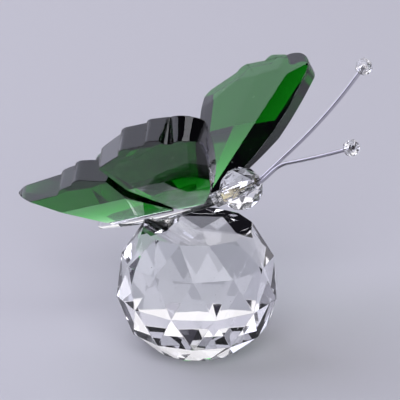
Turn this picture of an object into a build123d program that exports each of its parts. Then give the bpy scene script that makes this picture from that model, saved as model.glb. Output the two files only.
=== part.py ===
"""Cut-crystal butterfly on a faceted ball: ground glass pieces and bent wire, held by clear adhesive.

Millimetres. The origin is the centre of the ball's flat foot, +Z is up, +X is where the butterfly
heads and +Y is its left side.
"""

import os
from math import atan2, cos, degrees, radians, sin, tan

from build123d import *

# Ball: rings of corners with flat triangles between them, a flat table on top and a flat foot
ball_diameter = 40.0
ball_sides = 12
ball_ring_shares = (
    (0.674, 0.752),
    (0.922, 0.388),
    (0.998, -0.070),
    (0.867, -0.499),
    (0.533, -0.791),
)
ball_turn_angle = -49.0

# Body: a slender drop that rises towards the head, resting on the rear of the ball's table
body_length = 36.6
body_pitch_angle = 21.3
body_diameter = 4.5
tail_diameter = 2.0
neck_diameter = 2.6
thickest_share = 0.56
tail_overhang = 15.0
tail_drop = 5.05

# Seat: the notch ground in the body's underside and the adhesive that fills it
seat_gap = 0.15
seat_pad_length = 7.5
seat_pad_width = 4.4
seat_pad_height = 1.8
seat_pad_taper_angle = 20.0

# Head: a faceted bead with a through bore, joined to the neck by a collar of adhesive
head_diameter = 10.5
head_sides = 10
head_ring_shares = (
    (0.391, 0.921),
    (0.766, 0.643),
    (0.974, 0.225),
    (0.974, -0.225),
    (0.766, -0.643),
    (0.391, -0.921),
)
head_pitch_angle = 30.0
head_gap = 1.8
bore_diameter = 2.1
collar_diameter = 3.8
collar_overlap = 1.1

# Wings: thick plates that stand in a V, fluted at the outer edge, thinner at the root
dihedral_angle = 45.0
left_hindwing_lean_angle = -1.0
right_hindwing_lean_angle = 3.0
wing_pitch_angle = 20.5
wing_plane_depth = 1.0
root_face_radius = 2.7
root_thickness = 1.6
rim_thickness = 7.0
wall_draft_angle = 14.0
root_overrun = 3.0
root_slope_share = 0.55
wing_gap = 0.45
forewing_root_back = 10.6
forewing_chord = 30.4
forewing_span = 36.9
hindwing_length = 33.0
hindwing_span = 27.7
hindwing_trail_thickness = 1.0
hindwing_trail_inset = 8.0

# Forewing outline, as shares of its chord and span: the root, the leading edge, then lobe after lobe
forewing_root_shares = ((0, 0), (0.293, 0))
forewing_lead_shares = ((0.730, 0.398), (0.990, 0.822))
forewing_tip_shares = ((0.964, 0.922), (0.766, 0.969))
forewing_lobe_shares = (
    ((0.640, 0.998), (0.562, 0.964)),
    ((0.390, 0.978), (0.293, 0.925)),
    ((0.065, 0.854), (-0.026, 0.700)),
)
forewing_ridge_shares = ((0.250, 0.050), (0.800, 0.780))
forewing_fan_shares = ((0.18, 0.05), (0.09, 0.05))

# Hindwing outline, as shares of its length and span, counted back from the front of its root
hindwing_front_share = 0.800
hindwing_lobe_shares = (
    ((-0.245, 0.925), (-0.350, 0.883)),
    ((-0.455, 0.862), (-0.530, 0.795)),
    ((-0.845, 0.785), (-0.955, 0.732)),
)
hindwing_tip_shares = ((-1.000, 0.675), (-0.992, 0.625))
hindwing_trail_shares = ((-0.671, 0.063), (-0.640, 0))
hindwing_fan_shares = ((-0.28, 0.08), (-0.36, 0.08))

# Facets ground on the plates: how far in each starts and how steeply it falls away, in degrees
rim_inset = 4.2
rim_fall_angle = 11.0
lead_fall_angle = 18.0
fan_fall_angle = 3.0

# Adhesive seams between the wings' root faces and the body's flanks
seam_margin = 1.2
seam_face_shares = (0.08, 0.92)
seam_body_shares = (0.93, 0.69)
seam_body_angles = (-65.0, -15.0)

# Antennae: two bowed wires in the bead's bore, the left one higher, each with a small bead on its end
wire_diameter = 0.9
wire_gap = 0.06
wire_roll_angle = 48.0
wire_end_share = 0.6
lead_out = 1.3
fork_run = 7.0
fork_pitch_angle = 47.0
bend_radius = 10.0
antenna_length = 30.5
antenna_bow_share = 0.75
left_antenna_pitch_angle = 51.5
left_antenna_splay_angle = 18.3
left_antenna_bow_angle = 10.0
right_antenna_pitch_angle = 23.3
right_antenna_splay_angle = -29.2
right_antenna_bow_angle = 2.5
tip_diameter = 4.0
tip_sides = 8
tip_ring_shares = ((0.616, 0.788), (0.951, 0.309), (0.951, -0.309), (0.616, -0.788))
tip_bore_diameter = 1.1
tip_bore_share = 0.55

# Places worked out from the sizes above
ball_radius = ball_diameter / 2
ball_centre = Vector(0, 0, -ball_radius * ball_ring_shares[-1][1])
table_height = ball_centre.Z + ball_radius * ball_ring_shares[0][1]
table_radius = ball_radius * ball_ring_shares[0][0] * cos(radians(180 / ball_sides))
body_radius = body_diameter / 2
tail_centre = Vector(-table_radius - tail_overhang, 0, table_height - tail_drop)
cutter = 4 * ball_diameter


def heading(pitch, splay=0.0):
    """The direction that rises by pitch and turns left by splay, in degrees."""
    level = cos(radians(pitch))
    return Vector(level * cos(radians(splay)), level * sin(radians(splay)), sin(radians(pitch)))


body_frame = Plane(
    origin=tail_centre,
    x_dir=heading(body_pitch_angle),
    z_dir=heading(body_pitch_angle + 90),
)
neck_end = tail_centre + heading(body_pitch_angle) * body_length
wing_frame = Plane(
    origin=neck_end,
    x_dir=heading(wing_pitch_angle),
    z_dir=heading(wing_pitch_angle + 90),
)
head_half = head_diameter / 2 * head_ring_shares[0][1]
head_centre = neck_end + heading(head_pitch_angle) * (head_gap + head_half)
head_frame = Plane(origin=head_centre, x_dir=(0, 1, 0), z_dir=heading(head_pitch_angle))


def faceted_ball(diameter, sides, ring_shares, turn=0.0):
    """A ball of flat triangles between rings of corners, each ring half a step round from the last."""
    step = 360 / sides
    rings = []
    for row, (width_share, height_share) in enumerate(ring_shares):
        ring_radius = diameter / 2 * width_share
        height = diameter / 2 * height_share
        angles = [radians(turn + step * (side + row % 2 / 2)) for side in range(sides)]
        rings.append([Vector(ring_radius * cos(a), ring_radius * sin(a), height) for a in angles])
    loops = [rings[0], rings[-1]]
    for row, (upper, lower) in enumerate(zip(rings, rings[1:])):
        shift = row % 2
        for side in range(sides):
            after = (side + 1) % sides
            loops.append([upper[side], upper[after], lower[after if shift else side]])
            loops.append([lower[side], lower[after], upper[side if shift else after]])
    return Solid(Shell([Face(Wire.make_polygon(loop, close=True)) for loop in loops]))


def drop_body():
    """The drop: a rounded tail, an arc to its thickest place and an arc to the cut neck."""
    tail = tail_diameter / 2
    neck = neck_diameter / 2
    thickest = (thickest_share * body_length, body_radius)
    tail_mid = (tail - tail * cos(radians(45)), tail * sin(radians(45)))
    profile = [
        ThreePointArc((0, 0), tail_mid, (tail, tail)),
        TangentArc(thickest, (tail, tail), tangent=(-1, 0)),
        TangentArc(thickest, (body_length, neck), tangent=(1, 0)),
        Line((body_length, neck), (body_length, 0)),
        Line((body_length, 0), (0, 0)),
    ]
    drop = revolve(Face(Wire(profile)), axis=Axis.X)
    return body_frame.location * drop


def sized(shares, along, across):
    """A point of a wing's outline from its shares."""
    return Vector(shares[0] * along, shares[1] * across)


def grind(blank, start, end, height, fall, under=False):
    """Grinds one flat facet: it starts at the line and falls away to the right of it."""
    run = (end - start).normalized()
    right = run.cross(Vector(0, 0, 1))
    out = right * sin(radians(fall)) + Vector(0, 0, -1 if under else 1) * cos(radians(fall))
    facet = Plane(origin=start + Vector(0, 0, height), x_dir=run, z_dir=out)
    waste = Box(cutter, cutter, cutter, align=(Align.CENTER, Align.CENTER, Align.MIN))
    return blank - facet.location * waste


def wing_plate(outline, pressed_outline, cusps, fans, span):
    """A plate with square lobes and draft on its pressed edges, thinned at the root, with facets on top."""
    square = extrude(Face(Wire(outline)), amount=-rim_thickness)
    pressed = extrude(Face(Wire(pressed_outline)), amount=rim_thickness, taper=wall_draft_angle)
    plate = square & mirror(pressed, about=Plane.XY)
    root_fall = degrees(atan2(rim_thickness - root_thickness, root_slope_share * span))
    plate = grind(plate, Vector(span, 0), Vector(0, 0), -root_thickness, -root_fall, under=True)
    for start, end in zip(cusps, cusps[1:]):
        inwards = Vector(0, 0, 1).cross((end - start).normalized())
        inset = inwards * rim_inset
        plate = grind(plate, start + inset, end + inset, 0, rim_fall_angle)
    for row, (start, end) in enumerate(fans, 1):
        plate = grind(plate, start, end, 0, row * fan_fall_angle)
    return plate


def wing_location(root_start, rise_angle):
    """Where a left wing's plate lies: its root beside the body, its upper face just under the axis."""
    out_y, out_z = cos(radians(rise_angle)), sin(radians(rise_angle))
    place = Plane(
        origin=(
            root_start,
            root_face_radius * out_y + wing_plane_depth * out_z,
            root_face_radius * out_z - wing_plane_depth * out_y,
        ),
        x_dir=(1, 0, 0),
        z_dir=(0, -out_z, out_y),
    )
    return wing_frame.location * place.location


def lobed_edges(start, lobes, along, across):
    """The scalloped edge, each lobe a straight run and a rounded shoulder, and the cusps between them."""
    edges, cusps = [], [start]
    for lobe in lobes:
        shoulder, end = [sized(shares, along, across) for shares in lobe]
        edges.append(Line(cusps[-1], shoulder))
        edges.append(TangentArc(shoulder, end, tangent=shoulder - cusps[-1]))
        cusps.append(end)
    return edges, cusps


def forewing_plate():
    """The forewing: a bowed leading edge with a ridge behind it, a round tip and three lobes."""
    along, across = forewing_chord, forewing_span
    rear, front = [sized(shares, along, across) for shares in forewing_root_shares]
    bow, tip = [sized(shares, along, across) for shares in forewing_lead_shares]
    tip_mid, tip_end = [sized(shares, along, across) for shares in forewing_tip_shares]
    lobes, cusps = lobed_edges(tip_end, forewing_lobe_shares, along, across)
    leading = [ThreePointArc(front, bow, tip), ThreePointArc(tip, tip_mid, tip_end)]
    outline = [Line(rear, front), *leading, *lobes, Line(cusps[-1], rear)]
    below = Vector(front.X, -root_overrun)
    above = Vector(tip_end.X, across + rim_inset)
    trail_low, trail_high = [cusps[-1] * (end.Y / cusps[-1].Y) for end in (below, above)]
    pressed_outline = [
        Line(trail_low, below),
        Line(below, front),
        *leading,
        Line(tip_end, above),
        Line(above, trail_high),
        Line(trail_high, trail_low),
    ]
    roots = [sized(shares, along, across) for shares in forewing_fan_shares]
    plate = wing_plate(outline, pressed_outline, [tip, *cusps], zip(cusps[1:3], roots), across)
    ridge = [sized(shares, along, across) for shares in forewing_ridge_shares]
    plate = grind(plate, *ridge, 0, lead_fall_angle)
    return grind(plate, *ridge, -rim_thickness, lead_fall_angle, under=True)


def hindwing_plate():
    """The hindwing: its front edge runs along the forewing's trailing edge, and its tip sweeps back."""
    along, across = hindwing_length, hindwing_span
    trail = sized(forewing_lobe_shares[-1][1], forewing_chord, forewing_span)
    front = Vector(0, 0)
    corner_rise = hindwing_front_share * across
    corner = Vector(corner_rise * trail.X / trail.Y, corner_rise)
    lobes, cusps = lobed_edges(corner, hindwing_lobe_shares, along, across)
    tip_mid, tip_end = [sized(shares, along, across) for shares in hindwing_tip_shares]
    trail_end, rear = [sized(shares, along, across) for shares in hindwing_trail_shares]
    outline = [
        Line(rear, front),
        Line(front, corner),
        *lobes,
        ThreePointArc(cusps[-1], tip_mid, tip_end),
        Line(tip_end, trail_end),
        Line(trail_end, rear),
    ]
    low, high = [trail * (rise / trail.Y) for rise in (-root_overrun, across + rim_inset)]
    past_tip = Vector(2 * along, 0)
    pressed_outline = Polyline(low, high, high - past_tip, low - past_tip, close=True).edges()
    roots = [sized(shares, along, across) for shares in hindwing_fan_shares]
    plate = wing_plate(outline, pressed_outline, cusps, zip(cusps[1:3], roots), across)
    inset = Vector(0, 0, 1).cross((trail_end - tip_end).normalized()) * hindwing_trail_inset
    fall = degrees(atan2(rim_thickness - hindwing_trail_thickness, hindwing_trail_inset))
    return grind(plate, tip_end + inset, trail_end + inset, -rim_thickness, fall, under=True)


def root_seam(start, end):
    """The adhesive between a wing's root face and the body's flank, in the plate's own frame."""
    corners = [(0, -share * root_thickness) for share in seam_face_shares]
    for share, angle in zip(seam_body_shares, seam_body_angles):
        reach = share * body_radius
        corners.append(
            (reach * cos(radians(angle)) - root_face_radius, reach * sin(radians(angle)) + wing_plane_depth)
        )
    section = Plane.YZ.offset(start + seam_margin) * make_face(Polyline(*corners, close=True))
    return extrude(section, amount=end - start - 2 * seam_margin)


def rod(diameter, start, end):
    """A round rod from one point to another."""
    run = end - start
    base = Plane(origin=start, z_dir=run.normalized())
    upright = Cylinder(diameter / 2, run.length, align=(Align.CENTER, Align.CENTER, Align.MIN))
    return base.location * upright


def antenna(side, pitch, splay, bow):
    """One antenna: its bowed wire, the faceted bead on the wire's end and the adhesive in that bead's bore."""
    along = heading(head_pitch_angle)
    higher = heading(head_pitch_angle + 90) * sin(radians(wire_roll_angle))
    leftward = Vector(0, cos(radians(wire_roll_angle)), 0)
    beside = (leftward + higher) * (side * (wire_diameter + wire_gap) / 2)
    inner = head_centre + along * head_half * (1 - 2 * wire_end_share) + beside
    bend = head_centre + along * (head_half + lead_out) + beside
    fork = bend + heading(fork_pitch_angle) * fork_run
    half_run = antenna_length / 2
    slope = tan(radians(bow / 2))
    knee = fork + heading(pitch, splay) * half_run - heading(pitch + 90, splay) * half_run * slope
    tip_centre = fork + heading(pitch, splay) * antenna_length
    away = (tip_centre - knee).normalized()
    tip_half = tip_diameter / 2 * tip_ring_shares[0][1]
    mouth = tip_centre - away * tip_half
    bore_end = mouth + away * 2 * tip_half * tip_bore_share
    radii = [bend_radius, bend_radius, antenna_bow_share * half_run / slope]
    path = FilletPolyline(inner, bend, fork, knee, bore_end, radius=radii)
    wire = sweep(Plane(origin=inner, z_dir=along) * Circle(wire_diameter / 2), path=path)
    bore = rod(tip_bore_diameter, mouth, bore_end)
    place = Plane(origin=tip_centre, z_dir=away).location
    bead = place * faceted_ball(tip_diameter, tip_sides, tip_ring_shares) - bore
    return wire, bead, bore - wire


ball = Pos(ball_centre) * faceted_ball(ball_diameter, ball_sides, ball_ring_shares, ball_turn_angle)
ball_with_gap = Pos(ball_centre) * faceted_ball(
    ball_diameter + 2 * seat_gap, ball_sides, ball_ring_shares, ball_turn_angle
)
body = drop_body() - ball_with_gap

forewing_place = wing_location(-forewing_root_back, dihedral_angle)
forewing_root_end = forewing_root_shares[1][0] * forewing_chord
forewing = forewing_place * forewing_plate()
forewing_seam = forewing_place * root_seam(0, forewing_root_end) - body
hindwing_blank = hindwing_plate()
hindwing_seam_blank = root_seam(hindwing_trail_shares[1][0] * hindwing_length, 0)
hindwings, hindwing_seams = [], []
for lean in (left_hindwing_lean_angle, right_hindwing_lean_angle):
    hindwing_place = wing_location(-forewing_root_back - wing_gap, dihedral_angle + lean)
    hindwings.append(hindwing_place * hindwing_blank)
    hindwing_seams.append(hindwing_place * hindwing_seam_blank - body)

bore_start, bore_stop = [head_centre + heading(head_pitch_angle) * head_half * end for end in (-1, 1)]
bore = rod(bore_diameter, bore_start, bore_stop)
head = head_frame.location * faceted_ball(head_diameter, head_sides, head_ring_shares) - bore
left_wire, left_tip, left_drop = antenna(
    1, left_antenna_pitch_angle, left_antenna_splay_angle, left_antenna_bow_angle
)
right_wire, right_tip, right_drop = antenna(
    -1, right_antenna_pitch_angle, right_antenna_splay_angle, right_antenna_bow_angle
)
collar_start = bore_start - heading(head_pitch_angle) * (head_gap + collar_overlap)
collar = rod(collar_diameter, collar_start, bore_start) - body

right_forewing, right_forewing_seam, right_hindwing, right_hindwing_seam = [
    mirror(piece, about=Plane.XZ) for piece in (forewing, forewing_seam, hindwings[1], hindwing_seams[1])
]
pad_place = Pos(seat_pad_length / 2 - table_radius + seat_gap, 0, table_height)
pad = pad_place * extrude(
    SlotOverall(seat_pad_length, seat_pad_width), amount=seat_pad_height, taper=seat_pad_taper_angle
)
for neighbour in (body, hindwings[0], hindwing_seams[0], right_hindwing, right_hindwing_seam):
    pad = pad - neighbour

nodes = {
    "crystal_ball": ball,
    "body": body,
    "head_bead": head,
    "left_forewing": forewing,
    "right_forewing": right_forewing,
    "left_hindwing": hindwings[0],
    "right_hindwing": right_hindwing,
    "left_antenna_wire": left_wire,
    "right_antenna_wire": right_wire,
    "left_antenna_bead": left_tip,
    "right_antenna_bead": right_tip,
    "left_antenna_adhesive": left_drop,
    "right_antenna_adhesive": right_drop,
    "bore_adhesive": bore - [left_wire, right_wire],
    "neck_adhesive": collar,
    "seat_adhesive": pad,
    "left_forewing_adhesive": forewing_seam,
    "right_forewing_adhesive": right_forewing_seam,
    "left_hindwing_adhesive": hindwing_seams[0],
    "right_hindwing_adhesive": right_hindwing_seam,
}
os.makedirs("parts", exist_ok=True)
for name, piece in nodes.items():
    export_step(piece, f"parts/{name}.step")
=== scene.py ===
"""Looks of the cut-crystal butterfly: ground glass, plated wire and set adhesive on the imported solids."""

from math import cos, pi, radians, sin

import bpy
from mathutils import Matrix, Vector


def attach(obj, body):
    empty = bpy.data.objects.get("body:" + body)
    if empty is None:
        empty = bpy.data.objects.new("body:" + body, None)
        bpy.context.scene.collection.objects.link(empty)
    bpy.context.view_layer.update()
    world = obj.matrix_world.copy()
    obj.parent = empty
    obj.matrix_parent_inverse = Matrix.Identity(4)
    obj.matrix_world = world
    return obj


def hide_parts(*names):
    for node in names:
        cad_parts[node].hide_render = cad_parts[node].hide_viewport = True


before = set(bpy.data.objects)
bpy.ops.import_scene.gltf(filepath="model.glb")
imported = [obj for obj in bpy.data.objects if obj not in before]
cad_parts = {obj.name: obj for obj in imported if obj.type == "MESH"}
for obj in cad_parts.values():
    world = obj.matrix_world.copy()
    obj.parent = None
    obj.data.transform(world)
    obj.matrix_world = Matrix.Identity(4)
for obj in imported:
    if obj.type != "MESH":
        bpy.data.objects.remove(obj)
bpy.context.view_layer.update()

MM = 0.001

# Clear pieces, with the width in millimetres of their polished edges; the turned body has none
CLEAR_EDGES_MM = {
    "crystal_ball": 0.1,
    "body": 0.0,
    "head_bead": 0.05,
    "left_antenna_bead": 0.05,
    "right_antenna_bead": 0.05,
}
WING_NODES = ("left_forewing", "right_forewing", "left_hindwing", "right_hindwing")
WIRE_NODES = ("left_antenna_wire", "right_antenna_wire")
ADHESIVE_NODES = (
    "neck_adhesive",
    "bore_adhesive",
    "seat_adhesive",
    "left_forewing_adhesive",
    "right_forewing_adhesive",
    "left_hindwing_adhesive",
    "right_hindwing_adhesive",
    "left_antenna_adhesive",
    "right_antenna_adhesive",
)

# Packed triangles are merged at this distance, and become one facet where they lie this flat, in degrees
MERGE_MM = 0.002
FLAT_ANGLE = 0.6
# Cut glass is shaded flat, and turned, bent or set pieces are shaded round up to this many degrees
CUT_SHADING_ANGLE = 2.0
ROUND_SHADING_ANGLE = 35.0
# Edges that turn by more degrees than this are polished; the wings' shallow ridges stay crisp
CUT_EDGE_ANGLE = 12.0
WING_EDGE_ANGLE = 20.0
WING_EDGE_MM = 0.15
# The adhesive's skin stands back this far, so that it and the glass don't coincide
ADHESIVE_DRAW_IN_MM = 0.02

FLOOR_SIZE = 6.0
LAMP_AIM = Vector((0, 0, 0.035))

# Camera at the photograph's angle, for a square image
AZIMUTH = 29.2
ELEVATION = 20.04
DISTANCE = 0.5
LOOK_AT = Vector((0.5, 0.28, 37.5)) * MM
LENS_MM = 188.05
SENSOR_MM = 36.0


def linear(hex_colour):
    """An sRGB hex colour as the linear RGBA that shaders take."""
    channels = [int(hex_colour[i : i + 2], 16) / 255 for i in (1, 3, 5)]
    return [c / 12.92 if c <= 0.04045 else ((c + 0.055) / 1.055) ** 2.4 for c in channels] + [1.0]


def add(tree, kind, inputs=None, **settings):
    """Adds one node with its settings; each input is a value or the socket that feeds it."""
    node = tree.nodes.new(kind)
    for name, value in settings.items():
        setattr(node, name, value)
    for name, value in (inputs or {}).items():
        if isinstance(value, bpy.types.NodeSocket):
            tree.links.new(value, node.inputs[name])
        else:
            node.inputs[name].default_value = value
    return node


def new_material(name):
    """An empty node material, its tree and its output node."""
    material = bpy.data.materials.new(name)
    material.use_nodes = True
    tree = material.node_tree
    tree.nodes.clear()
    return material, tree, add(tree, "ShaderNodeOutputMaterial")


def per_metre(size_mm):
    """The scale of a pattern on Object coordinates, in metres, whose features are this many millimetres."""
    return 1 / (size_mm * MM)


def polished_crystal(name, tint, density, smear_roughness, speck_mm):
    """Lead crystal, ground flat and polished: sharp glints, and a colour that deepens with thickness."""
    smear_mm = 6.0
    speck_roughness = 0.3
    material, tree, output = new_material(name)
    place = add(tree, "ShaderNodeTexCoord").outputs["Object"]
    smears = add(tree, "ShaderNodeTexNoise", {"Vector": place, "Scale": per_metre(smear_mm), "Detail": 3.0})
    specks = add(tree, "ShaderNodeTexVoronoi", {"Vector": place, "Scale": per_metre(speck_mm)})
    # A speck of dust lies at the middle of each cell, and a finger's smear where the noise is high
    spots = add(
        tree,
        "ShaderNodeMapRange",
        {
            "Value": specks.outputs["Distance"],
            "From Min": 0.03,
            "From Max": 0.06,
            "To Min": speck_roughness,
            "To Max": 0.0,
        },
    )
    film = add(
        tree,
        "ShaderNodeMapRange",
        {
            "Value": smears.outputs["Fac"],
            "From Min": 0.45,
            "From Max": 0.75,
            "To Min": 0.0,
            "To Max": smear_roughness,
        },
    )
    roughness = add(
        tree,
        "ShaderNodeMath",
        {0: spots.outputs["Result"], 1: film.outputs["Result"]},
        operation="MAXIMUM",
    )
    glass = add(
        tree,
        "ShaderNodeBsdfPrincipled",
        {
            "Base Color": linear("#FFFFFF"),
            "Roughness": roughness.outputs["Value"],
            "IOR": 1.54,
            "Transmission Weight": 1.0,
        },
    )
    depth = add(tree, "ShaderNodeVolumeAbsorption", {"Color": linear(tint), "Density": density})
    tree.links.new(glass.outputs["BSDF"], output.inputs["Surface"])
    tree.links.new(depth.outputs["Volume"], output.inputs["Volume"])
    return material


def plated_wire():
    """Silver-plated copper wire, drawn and handled: a soft bright line with faint cloudy dulling."""
    cloud_mm = 4.0
    # Real drawing marks are finer; these are about as fine as the render can show
    grit_mm = 0.25
    grit_height_mm = 0.004
    material, tree, output = new_material("silver_plated_wire")
    place = add(tree, "ShaderNodeTexCoord").outputs["Object"]
    cloud = add(tree, "ShaderNodeTexNoise", {"Vector": place, "Scale": per_metre(cloud_mm), "Detail": 2.0})
    grit = add(tree, "ShaderNodeTexNoise", {"Vector": place, "Scale": per_metre(grit_mm), "Detail": 2.0})
    dull = add(
        tree,
        "ShaderNodeMapRange",
        {
            "Value": cloud.outputs["Fac"],
            "From Min": 0.3,
            "From Max": 0.7,
            "To Min": 0.16,
            "To Max": 0.22,
        },
    )
    tone = add(
        tree,
        "ShaderNodeMix",
        {"Factor": cloud.outputs["Fac"], "A": linear("#CBC9D0"), "B": linear("#BBB8C1")},
        data_type="RGBA",
    )
    bump = add(
        tree,
        "ShaderNodeBump",
        {"Height": grit.outputs["Fac"], "Strength": 0.05, "Distance": grit_height_mm * MM},
    )
    metal = add(
        tree,
        "ShaderNodeBsdfPrincipled",
        {
            "Base Color": tone.outputs["Result"],
            "Metallic": 1.0,
            "Roughness": dull.outputs["Result"],
            "Normal": bump.outputs["Normal"],
        },
    )
    tree.links.new(metal.outputs["BSDF"], output.inputs["Surface"])
    return material


def set_adhesive(name, tint, density, wave_mm, bubble_mm):
    """Acrylic adhesive, set by ultraviolet light: clear, with a faintly wavy skin and small bubbles."""
    relief_height_mm = 0.1
    material, tree, output = new_material(name)
    place = add(tree, "ShaderNodeTexCoord").outputs["Object"]
    waves = add(tree, "ShaderNodeTexNoise", {"Vector": place, "Scale": per_metre(wave_mm), "Detail": 1.0})
    bubbles = add(tree, "ShaderNodeTexVoronoi", {"Vector": place, "Scale": per_metre(bubble_mm)})
    pits = add(
        tree,
        "ShaderNodeMapRange",
        {
            "Value": bubbles.outputs["Distance"],
            "From Min": 0.1,
            "From Max": 0.25,
            "To Min": 0.0,
            "To Max": 0.4,
        },
    )
    relief = add(
        tree,
        "ShaderNodeMath",
        {0: waves.outputs["Fac"], 1: pits.outputs["Result"]},
        operation="ADD",
    )
    bump = add(
        tree,
        "ShaderNodeBump",
        {"Height": relief.outputs["Value"], "Strength": 0.3, "Distance": relief_height_mm * MM},
    )
    resin = add(
        tree,
        "ShaderNodeBsdfPrincipled",
        {
            "Base Color": linear(tint),
            "Roughness": 0.08,
            "IOR": 1.48,
            "Transmission Weight": 0.95,
            "Normal": bump.outputs["Normal"],
        },
    )
    depth = add(tree, "ShaderNodeVolumeAbsorption", {"Color": linear(tint), "Density": density})
    tree.links.new(resin.outputs["BSDF"], output.inputs["Surface"])
    tree.links.new(depth.outputs["Volume"], output.inputs["Volume"])
    return material


def painted_board():
    """Pale painted board: even and matt, so that it shows the ornament's shadow and no reflection."""
    material, tree, output = new_material("pale_painted_board")
    paint = add(tree, "ShaderNodeBsdfPrincipled", {"Base Color": linear("#CAC9CE"), "Roughness": 0.6})
    tree.links.new(paint.outputs["BSDF"], output.inputs["Surface"])
    return material


def select_only(piece):
    """Selects this piece alone and makes it the active one."""
    bpy.ops.object.select_all(action="DESELECT")
    piece.select_set(True)
    bpy.context.view_layer.objects.active = piece


def dressed(node, material, edge_mm=0.0, edge_angle=CUT_EDGE_ANGLE, draw_in_mm=0.0):
    """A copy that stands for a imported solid, with whole facets and polished edges where it is cut."""
    piece = bpy.data.objects.new(node + "_dressed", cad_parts[node].data.copy())
    bpy.context.scene.collection.objects.link(piece)
    select_only(piece)
    bpy.ops.object.mode_set(mode="EDIT")
    bpy.ops.mesh.select_all(action="SELECT")
    bpy.ops.mesh.remove_doubles(threshold=MERGE_MM * MM)
    if edge_mm:
        bpy.ops.mesh.dissolve_limited(angle_limit=radians(FLAT_ANGLE))
    if draw_in_mm:
        bpy.ops.mesh.select_all(action="SELECT")
        bpy.ops.transform.shrink_fatten(value=-draw_in_mm * MM)
    bpy.ops.object.mode_set(mode="OBJECT")
    shading_angle = CUT_SHADING_ANGLE if edge_mm else ROUND_SHADING_ANGLE
    bpy.ops.object.shade_smooth_by_angle(angle=radians(shading_angle))
    if edge_mm:
        bevel = piece.modifiers.new("polished_edges", "BEVEL")
        bevel.width = edge_mm * MM
        bevel.segments = 2
        bevel.limit_method = "ANGLE"
        bevel.angle_limit = radians(edge_angle)
        bevel.use_clamp_overlap = False
        bevel.harden_normals = True
        bpy.ops.object.modifier_apply(modifier=bevel.name)
    piece.data.materials.clear()
    piece.data.materials.append(material)
    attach(piece, "root")
    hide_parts(node)


def softbox(name, direction, distance, width, height, radiance, hex_colour):
    """A soft panel that faces the ornament from this direction, evenly lit at this radiance; metres."""
    lamp = bpy.data.lights.new(name, "AREA")
    lamp.shape = "RECTANGLE"
    lamp.size = width
    lamp.size_y = height
    lamp.energy = radiance * pi * width * height
    lamp.color = linear(hex_colour)[:3]
    holder = bpy.data.objects.new(name, lamp)
    bpy.context.scene.collection.objects.link(holder)
    holder.location = LAMP_AIM + Vector(direction).normalized() * distance
    holder.rotation_euler = (LAMP_AIM - holder.location).to_track_quat("-Z", "Y").to_euler()


# Almost colourless, so that the eye sees the room broken up by the facets
clear_crystal = polished_crystal(
    "polished_clear_crystal", tint="#F6F5FA", density=4.0, smear_roughness=0.03, speck_mm=5.0
)
# Light green through a few millimetres, and almost black along the length of a wing
green_crystal = polished_crystal(
    "polished_emerald_crystal", tint="#4CE367", density=840.0, smear_roughness=0.04, speck_mm=6.0
)
silver_wire = plated_wire()
# Glassy at the seams, and cream in the thicker filling of the head's bore
clear_adhesive = set_adhesive(
    "set_acrylic_adhesive", tint="#F6F6F4", density=20.0, wave_mm=2.5, bubble_mm=1.4
)
cream_adhesive = set_adhesive(
    "yellowed_acrylic_adhesive", tint="#F3EBCB", density=120.0, wave_mm=1.2, bubble_mm=0.7
)

for node, edge_mm in CLEAR_EDGES_MM.items():
    dressed(node, clear_crystal, edge_mm)
for node in WING_NODES:
    dressed(node, green_crystal, WING_EDGE_MM, WING_EDGE_ANGLE)
for node in WIRE_NODES:
    dressed(node, silver_wire)
for node in ADHESIVE_NODES:
    resin = cream_adhesive if node == "bore_adhesive" else clear_adhesive
    dressed(node, resin, draw_in_mm=ADHESIVE_DRAW_IN_MM)

bpy.ops.object.select_all(action="DESELECT")
bpy.ops.mesh.primitive_plane_add(size=FLOOR_SIZE, location=(0, 0, 0))
floor = bpy.context.object
floor.name = "pale_floor"
floor.data.materials.append(painted_board())

# Main light, above the camera
softbox(
    "key_softbox",
    direction=(0.50, -0.80, 0.70),
    distance=2.2,
    width=2.1,
    height=2.1,
    radiance=3.1,
    hex_colour="#F7F7FF",
)
# Large panel at the left, whose reflection is the pale veil on the far forewing
softbox(
    "left_softbox",
    direction=(-0.79, -0.07, 0.64),
    distance=1.7,
    width=1.96,
    height=2.76,
    radiance=2.05,
    hex_colour="#E6E7FA",
)
# Two strips behind brighten the ball's lower facets
# The ball's flat table mirrors the gap between them, and so it stays dark
softbox(
    "rear_softbox",
    direction=(-0.25, 0.96, 0.165),
    distance=2.0,
    width=4.8,
    height=0.66,
    radiance=1.05,
    hex_colour="#FFFDFF",
)
softbox(
    "high_rear_softbox",
    direction=(-0.25, 0.96, 0.54),
    distance=2.0,
    width=4.8,
    height=0.50,
    radiance=1.0,
    hex_colour="#FFFDFF",
)

# Dim room around the lamps
world = bpy.data.worlds.new("studio")
bpy.context.scene.world = world
world.use_nodes = True
room = world.node_tree.nodes["Background"]
room.inputs["Color"].default_value = linear("#3A3843")
room.inputs["Strength"].default_value = 1.0

lens = bpy.data.cameras.new("camera")
lens.lens = LENS_MM
lens.sensor_width = SENSOR_MM
camera = bpy.data.objects.new("camera", lens)
bpy.context.scene.collection.objects.link(camera)
back = Vector(
    (
        sin(radians(AZIMUTH)) * cos(radians(ELEVATION)),
        -cos(radians(AZIMUTH)) * cos(radians(ELEVATION)),
        sin(radians(ELEVATION)),
    )
)
camera.location = LOOK_AT + back * DISTANCE
camera.rotation_euler = (-back).to_track_quat("-Z", "Y").to_euler()
bpy.context.scene.camera = camera
bpy.context.scene.view_settings.view_transform = "Standard"
